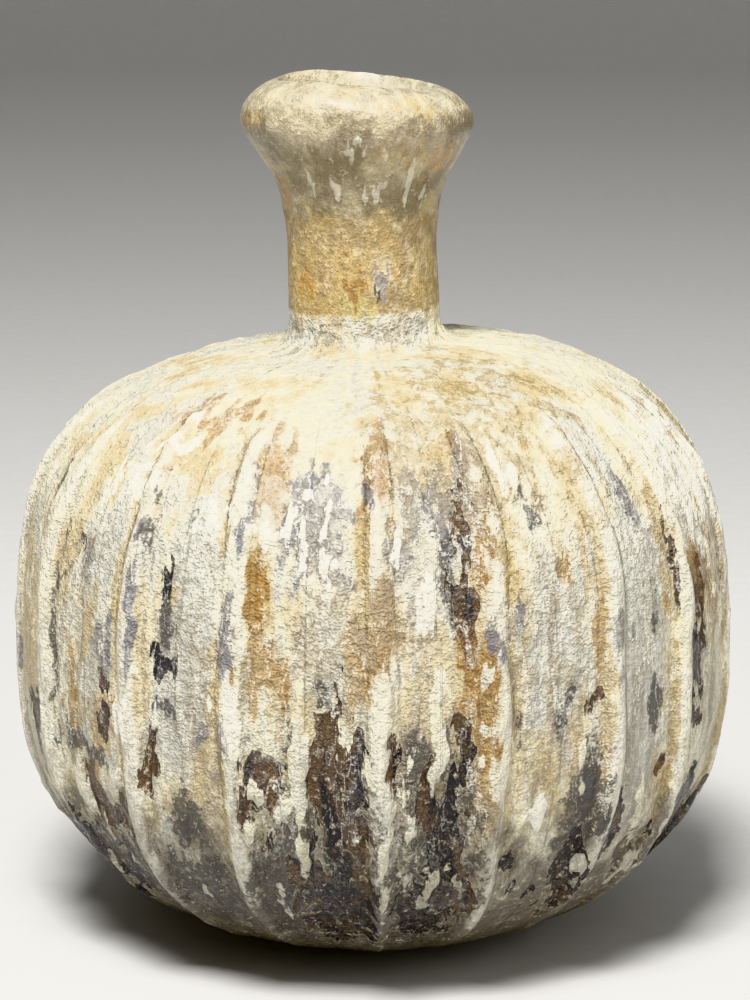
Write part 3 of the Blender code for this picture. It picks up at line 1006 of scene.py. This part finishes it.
def crust_skin(g, n, colours):
    """Cream to sand in broad drifts, under layers that have flaked off along crisp edges."""
    crust = g.mix(n.drift, colours.cream, colours.sand)
    crust = g.mix(g.step(n.tone, 0.45, 0.0, 0.0, 0.60), crust, colours.ochre)
    plate = g.step(n.tone_noise, *PLATE_EDGE)
    crust = g.mix(g.times(plate, g.step(n.drift, 0.0, 1.0, 0.35, 0.80)), crust, colours.grey)
    flake = g.step(n.ragged_noise, 0.535, 0.565)
    crust = g.mix(g.times(flake, 0.6), crust, colours.cream)
    grey = patch(g, mesh_field(g, "grey"), n.tone, 0.8, 0.25)["Mask"]
    crust = g.mix(g.times(grey, 0.85), crust, colours.grey)
    # More grime lower down the body, and with the dirt and painted shade at the foot
    lower_down = g.step(n.height, 0.074, 0.048, -0.50, 0.10)
    grime_and_shade_share = g.plus(n.streak, g.math("MULTIPLY_ADD", n.low, 0.55, lower_down))
    grime_and_shade_share = g.times(g.step(grime_and_shade_share, 0.35, 1.25, 0.0, 0.64), g.step(n.mottle, 0.0, 0.9, 1.0, 0.7))
    grime_and_shade_share = g.times(grime_and_shade_share, g.minus(1.0, g.times(n.gloss, 0.6)))
    return g.mix(grime_and_shade_share, crust, colours.grime_and_shade)


def with_neck_skins(g, n, colours, crust):
    """The crust with the golden skin of the neck and the grey-brown one of the flare."""
    sandy = g.times(n.gloss, g.step(n.tone, 0.2, 0.9, 0.85, 0.35))
    crust = g.mix(sandy, crust, colours.sand)
    olive = g.times(n.gloss, g.step(n.ragged, 0.1, 0.9, 0.60, 0.20))
    crust = g.mix(olive, crust, colours.olive)
    neck = patch(g, n.golden, n.ragged, 0.5, 0.2)["Mask"]
    golden_skin = g.mix(g.step(n.ragged, 0.45, 1.0, 0.0, 0.60), colours.gold, colours.sand)
    golden_skin = g.mix(g.step(n.tone, 0.7, 0.2, 0.0, 0.6), golden_skin, colours.ochre)
    crust = g.mix(g.times(neck, 0.92), crust, golden_skin)
    flare = patch(g, n.brownish, n.ragged, 0.6, 0.18)["Mask"]
    flare_skin = g.mix(g.step(n.tone, 0.35, 0.95, 0.0, 0.62), colours.olive, colours.sand)
    return g.mix(g.times(flare, 0.94), crust, flare_skin)


def rib_sides(g, n):
    """Masks of the stain on the left of each rib, and of the painted shadow line on its right."""
    left = g.times(g.step(n.across, -3.6, -1.9), g.step(n.across, -1.2, -0.8, 1.0, 0.0))
    left = g.times(g.times(left, n.near_ribs), g.step(n.drift, 0.1, 0.7, 0.35, 1.0))
    right = g.times(g.step(n.across, 1.2, 1.6), g.step(n.across, 1.7, 2.4, 1.0, 0.0))
    right = g.times(g.times(right, n.near_ribs), g.step(n.tone, 0.3, 0.8, 0.1, 0.7))
    return left, right


def with_stains(g, n, colours, crust, beside_ribs):
    """The crust with the stains that soak it, and that spread round bare glass."""
    stain = g.larger(mesh_field(g, "stain"), g.times(beside_ribs, 0.95))
    stain = g.larger(stain, g.times(g.step(mesh_field(g, "bare"), 0.0, 0.6), 0.6))
    stain = g.larger(stain, g.times(g.step(mesh_field(g, "amber"), 0.0, 0.5), 0.75))
    stains = (
        (stain, "ochre", 0.80, 0.26),
        (mesh_field(g, "rust"), "rust", 0.82, 0.24),
        (mesh_field(g, "amber"), "amber", 0.92, 0.2),
        (mesh_field(g, "moss"), "moss", 0.7, 0.2),
        (mesh_field(g, "veil"), "veil", 0.90, 0.22),
        # Buff dirt, with painted shade in the flutes and under the lip's roll
        (mesh_field(g, "dull_and_shade"), "dull_and_shade", 0.80, 0.4),
    )
    deeper = g.step(n.height, *DEEPER_FROM, 1.0, DEEPER_SHARE)
    deeper = g.larger(deeper, g.step(n.height, *DEEPER_UNTIL))
    for value, name, share, softness in stains:
        mask = patch(g, value, n.ragged, 0.85, softness)["Mask"]
        patchy = g.times(mask, g.step(n.mottle, 0.3, 1.0, share, share * 0.85))
        full = getattr(colours, name)
        lighter = tuple(0.7 * dark + 0.3 * pale for dark, pale in zip(full, colours.sand))
        stained = g.mix(g.step(n.tone, 0.2, 0.9), full, lighter)
        crust = g.mix(patchy, crust, g.shaded(stained, deeper))
    return crust


def spot_light(g, n):
    """How light the crust is from spot to spot, from its mottling, grain and fibres."""
    light = g.times(g.minus(n.grain, 0.5), 0.24)
    light = g.plus(g.step(n.mottle, 0.0, 1.0, 0.88, 1.06), light)
    light = g.plus(light, g.times(g.minus(n.fibre, 0.5), 0.22))
    return g.times(light, g.step(n.height, 0.070, 0.050, 1.0, 0.93))


def with_dirt_and_shade(g, n, colours, crust, beside_ribs):
    """The crust with dirt and painted shade that thicken towards the foot, soot with painted shade, and
    painted shadow lines beside the ribs.
    """
    clear = g.minus(1.0, g.times(n.ridge, 0.25))
    foot = g.times(g.times(n.low, 1.35), clear)
    foot = patch(g, foot, g.minus(1.0, n.tone), 1.0, 0.35)["Mask"]
    foot = g.times(foot, g.step(n.mottle, 0.3, 1.0, 0.95, 0.72))
    crust = g.mix(foot, crust, colours.dirt_and_shade)
    # A painted shadow line on the right of each rib, in the grime colour
    crust = g.mix(g.times(beside_ribs, g.step(n.streak, 0.2, 0.8, 0.9, 0.4)), crust, colours.grime_and_shade)
    broken = g.math("MULTIPLY_ADD", n.mottle, 0.5, g.times(n.ragged, 0.5))
    soot_and_shade = patch(g, mesh_field(g, "soot_and_shade"), broken, 1.1, 0.2)["Mask"]
    return g.mix(g.times(soot_and_shade, 0.88), crust, colours.soot_and_shade)


def bare_glass(g, n, colours):
    """Glass from amber to nearly black, with dust and a lilac-grey sheen."""
    depth = g.plus(mesh_field(g, "depth"), g.times(g.minus(n.streak, 0.42), 0.9))
    depth = g.plus(depth, g.times(g.minus(n.grain, 0.5), 0.35))
    glass = g.mix(g.step(depth, -0.35, 0.15), colours.amber, colours.brown)
    glass = g.mix(g.step(depth, 0.35, 0.8), glass, colours.black)
    dusty = g.times(g.step(n.mottle, 0.65, 0.95), g.step(n.ragged, 0.3, 0.8))
    glass = g.mix(g.times(dusty, 0.65), glass, colours.grime_and_shade)
    sheen = g.times(g.step(n.tone, 0.55, 0.95), g.step(n.mottle, 0.2, 0.7))
    return g.mix(g.times(sheen, 0.28), glass, colours.veil)


def with_chalk(g, n, colours, surface, thick, light):
    """The surface with thick pale crust and chalk on top of everything."""
    skin = g.shaded(g.mix(n.streak, colours.rib, colours.cream), light)
    surface = g.mix(g.times(thick, g.step(n.low, 0.0, 0.8, 0.85, 0.60)), surface, skin)
    chalk = patch(g, mesh_field(g, "chalk"), n.ragged, 1.0, 0.15)["Mask"]
    white = g.shaded(colours.chalk, g.step(light, 0.5, 0.95, 0.75, 1.0))
    return g.mix(g.times(chalk, g.step(n.smooth, 0.1, 0.8, 0.8, 0.40)), surface, white)


def with_fine_marks(g, n, colours, surface):
    """The surface with a net of pale lines, and flecks and pits in what is left."""
    net = g.step(g.math("ABSOLUTE", g.minus(n.tone_noise, 0.5)), 0.016, 0.004)
    fine_net = g.step(g.math("ABSOLUTE", g.minus(n.ragged_noise, 0.47)), 0.020, 0.005)
    net = g.larger(net, g.times(fine_net, 0.6))
    net = g.times(net, g.step(n.low, 0.5, 0.0, 0.08, 0.45))
    net = g.times(net, g.step(n.smooth, 0.1, 0.6, 1.0, 0.05))
    surface = g.mix(g.times(net, g.step(n.grain, 0.1, 0.7)), surface, colours.chalk)
    flecks = g.times(g.step(n.mottle, 0.82, 0.97), g.step(n.grain, 0.4, 0.8))
    surface = g.mix(g.times(flecks, 0.45), surface, colours.cream)
    pits = g.times(g.step(n.mottle, 0.26, 0.06), g.step(n.grain, 0.65, 0.3))
    return g.mix(g.times(pits, g.step(n.low, 0.0, 0.7, 0.2, 0.6)), surface, colours.grime_and_shade)


def fine_relief(g, n, uncovered):
    """Relief too fine for the mesh."""
    height = g.plus(g.times(n.mottle, 0.60), g.times(n.ragged, 0.30))
    height = g.math("MULTIPLY_ADD", n.grain, 0.26, height)
    height = g.math("MULTIPLY_ADD", uncovered, -0.8, height)
    beside = g.math("ABSOLUTE", n.across)
    groove = g.times(g.step(beside, 1.5, 2.0), g.step(beside, 2.2, 2.9, 1.0, 0.0))
    height = g.math("MULTIPLY_ADD", g.times(groove, n.near_ribs), -0.6, height)
    height = g.times(height, g.step(n.smooth, 0.1, 0.8, 1.0, 0.5))
    return g.node("ShaderNodeBump", {"Strength": 1.0, "Distance": FINE_RELIEF, "Height": height}).outputs[0]


def weathered_glass(form, colours):
    """Burial crust in cream, sand and grey over amber to black glass, with its stains and dirt."""
    material, g, shader = new_material("weathered_glass")
    n = shared_values(g, form)
    light = spot_light(g, n)
    left_of_ribs, shade_right_of_ribs = rib_sides(g, n)
    crust = with_neck_skins(g, n, colours, crust_skin(g, n, colours))
    # Paler rib crests: smooth skin, with a painted highlight along each crest
    crust = g.mix(g.times(g.step(n.ridge, 0.40, 0.75), 0.75), crust, colours.rib)
    crust = with_stains(g, n, colours, crust, left_of_ribs)
    crust = with_dirt_and_shade(g, n, colours, g.shaded(crust, light), shade_right_of_ribs)

    # Bare glass, sunk in the crust, whose broken edge is paler: thick crust with a painted highlight along it
    bare = patch(g, mesh_field(g, "bare"), n.ragged, 1.0, 0.06)
    crust = g.mix(g.times(bare["Rim"], 0.30), crust, colours.cream)
    surface = g.mix(bare["Mask"], crust, bare_glass(g, n, colours))

    # What lies on top, and the plain inside
    thick = patch(g, mesh_field(g, "pale"), n.ragged, 0.8, 0.10)["Mask"]
    surface = with_chalk(g, n, colours, surface, thick, light)
    surface = with_fine_marks(g, n, colours, surface)
    surface = g.mix(g.times(mesh_field(g, "inside"), 0.75), surface, colours.olive)
    g.feed(shader.inputs["Base Color"], surface)

    # Matt crust, and glossier glass, flare and lip
    uncovered = g.times(bare["Mask"], g.minus(1.0, thick))
    rough = g.minus(g.step(n.mottle, 0.0, 1.0, 0.46, 0.70), g.times(n.gloss, 0.20))
    rough = g.minus(rough, g.times(uncovered, 0.22))
    g.feed(shader.inputs["Roughness"], rough)
    g.feed(shader.inputs["Coat Weight"], g.math("MULTIPLY_ADD", n.gloss, 0.40, 0.20))
    shader.inputs["Coat Roughness"].default_value = 0.36
    g.feed(shader.inputs["Normal"], fine_relief(g, n, uncovered))
    shader.inputs["Specular IOR Level"].default_value = 0.4
    return material


def pale_floor(settings):
    """Matt pale card with a faint grain."""
    material, g, shader = new_material("pale_floor")
    inputs = {"Vector": g.node("ShaderNodeTexCoord").outputs["Object"], "Grain Size": FLOOR_GRAIN}
    grain = g.node("ShaderNodeGroup", inputs, node_tree=shared_effect("fine_grain")).outputs[0]
    darker = tuple(0.97 * value for value in settings.floor_colour)
    g.feed(shader.inputs["Base Color"], g.mix(grain, darker, settings.floor_colour))
    shader.inputs["Roughness"].default_value = 0.9
    return material


# Stage


def sweep(settings, material):
    """A round floor that turns up into a backdrop on every side."""
    radius = settings.sweep_radius
    bend = 0.4 * radius
    turn = np.linspace(0.0, math.pi / 2.0, 12)
    profile = [(0.0, 0.0), (radius - bend, 0.0)]
    profile += [(radius - bend + bend * math.sin(a), bend - bend * math.cos(a)) for a in turn[1:]]
    profile.append((radius, 0.9 * radius))
    columns = 96
    points = [(0.0, 0.0, 0.0)]
    for across, up in profile[1:]:
        for column in range(columns):
            a = math.tau * column / columns
            points.append((across * math.cos(a), across * math.sin(a), up))
    faces = [(0, 1 + j, 1 + (j + 1) % columns) for j in range(columns)]
    for row in range(len(profile) - 2):
        first, second = 1 + row * columns, 1 + (row + 1) * columns
        for j in range(columns):
            k = (j + 1) % columns
            faces.append((first + j, second + j, second + k, first + k))
    mesh = bpy.data.meshes.new("floor")
    mesh.from_pydata(points, [], faces)
    mesh.shade_smooth()
    mesh.materials.append(material)
    return in_scene("floor", mesh)


def area_light(name, place, size, power, tint):
    """A square soft light that faces the bottle's middle."""
    light = bpy.data.lights.new(name, "AREA")
    light.shape = "SQUARE"
    light.size = size
    light.energy = power
    light.color = tint
    obj = in_scene(name, light)
    obj.location = place
    obj.rotation_euler = (Vector(LIT_POINT) - Vector(place)).to_track_quat("-Z", "Y").to_euler()


def sky_light(strength):
    """Even white light from above."""
    world = bpy.data.worlds.new("sky")
    world.use_nodes = True
    background = world.node_tree.nodes["Background"]
    background.inputs["Color"].default_value = SKY_TINT
    background.inputs["Strength"].default_value = strength
    bpy.context.scene.world = world


def camera(settings):
    """The camera at the height, distance and tilt of the picture."""
    data = bpy.data.cameras.new("camera")
    data.sensor_width = SENSOR_WIDTH
    data.lens = FOCAL_PIXELS / PICTURE_HEIGHT * SENSOR_WIDTH
    data.clip_start = 0.01
    obj = in_scene("camera", data)
    obj.location = (CAMERA_SHIFT, -settings.camera_distance, settings.camera_height)
    obj.rotation_euler = (math.pi / 2.0 - settings.camera_tilt, 0.0, 0.0)
    bpy.context.scene.camera = obj


# Operators


class BOTTLE_OT_make_bottle(bpy.types.Operator):
    """Makes the ribbed bottle with its crust, in place of the plain solid"""

    bl_idname = "ribbed_bottle.make_bottle"
    bl_label = "Make bottle"

    def execute(self, context):
        scene = context.scene
        ribbing = scene.bottle_ribbing
        mesh = bottle_mesh(scene.bottle_form, ribbing.seed)
        values = {
            "Rib Height": ribbing.height,
            "Rib Width": ribbing.width,
            "Flute Depth": ribbing.flute_depth,
            "Crust Depth": ribbing.crust_depth,
            "Roughness Depth": ribbing.roughness_depth,
            "Lump Size": ribbing.lump_size,
            "Seed": 0.0,
            "Material": weathered_glass(scene.bottle_form, scene.bottle_colours),
        }
        piece = shaped(mesh, ribbing_tree(), values)
        piece.data.set_sharp_from_angle(angle=SHARP_EDGE)
        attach(piece, "root")
        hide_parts(NODE)
        return {"FINISHED"}


class BOTTLE_OT_make_stage(bpy.types.Operator):
    """Makes the pale floor, the soft lights and the camera"""

    bl_idname = "ribbed_bottle.make_stage"
    bl_label = "Make stage"

    def execute(self, context):
        settings = context.scene.bottle_stage
        floor = sweep(settings, pale_floor(settings))
        area_light("key", KEY_PLACE, KEY_SIZE, settings.key_power, KEY_TINT)
        area_light("fill", FILL_PLACE, FILL_SIZE, settings.fill_power, FILL_TINT)
        sky_light(settings.sky)
        camera(settings)
        context.scene.view_settings.view_transform = settings.view
        return {"FINISHED"}


class BOTTLE_PT_panel(bpy.types.Panel):
    """Lists what can be made"""

    bl_idname = "BOTTLE_PT_panel"
    bl_label = "Ribbed glass bottle"
    bl_space_type = "VIEW_3D"
    bl_region_type = "UI"
    bl_category = "Bottle"

    def draw(self, context):
        layout = self.layout
        for operator in OPERATORS:
            layout.operator(operator.bl_idname)
        for name in SETTINGS:
            group = getattr(context.scene, name)
            box = layout.box()
            for key in group.__annotations__:
                box.prop(group, key)


SETTINGS = {
    "bottle_form": BottleForm,
    "bottle_ribbing": Ribbing,
    "bottle_colours": CrustColours,
    "bottle_stage": StageSettings,
}
OPERATORS = (BOTTLE_OT_make_bottle, BOTTLE_OT_make_stage)
CLASSES = (*SETTINGS.values(), *OPERATORS, BOTTLE_PT_panel)


def register():
    for cls in CLASSES:
        bpy.utils.register_class(cls)
    for name, group in SETTINGS.items():
        setattr(bpy.types.Scene, name, PointerProperty(type=group))


def unregister():
    for name in SETTINGS:
        delattr(bpy.types.Scene, name)
    for cls in reversed(CLASSES):
        bpy.utils.unregister_class(cls)


def main():
    register()
    bpy.ops.ribbed_bottle.make_bottle()
    bpy.ops.ribbed_bottle.make_stage()


if __name__ == "__main__":
    main()
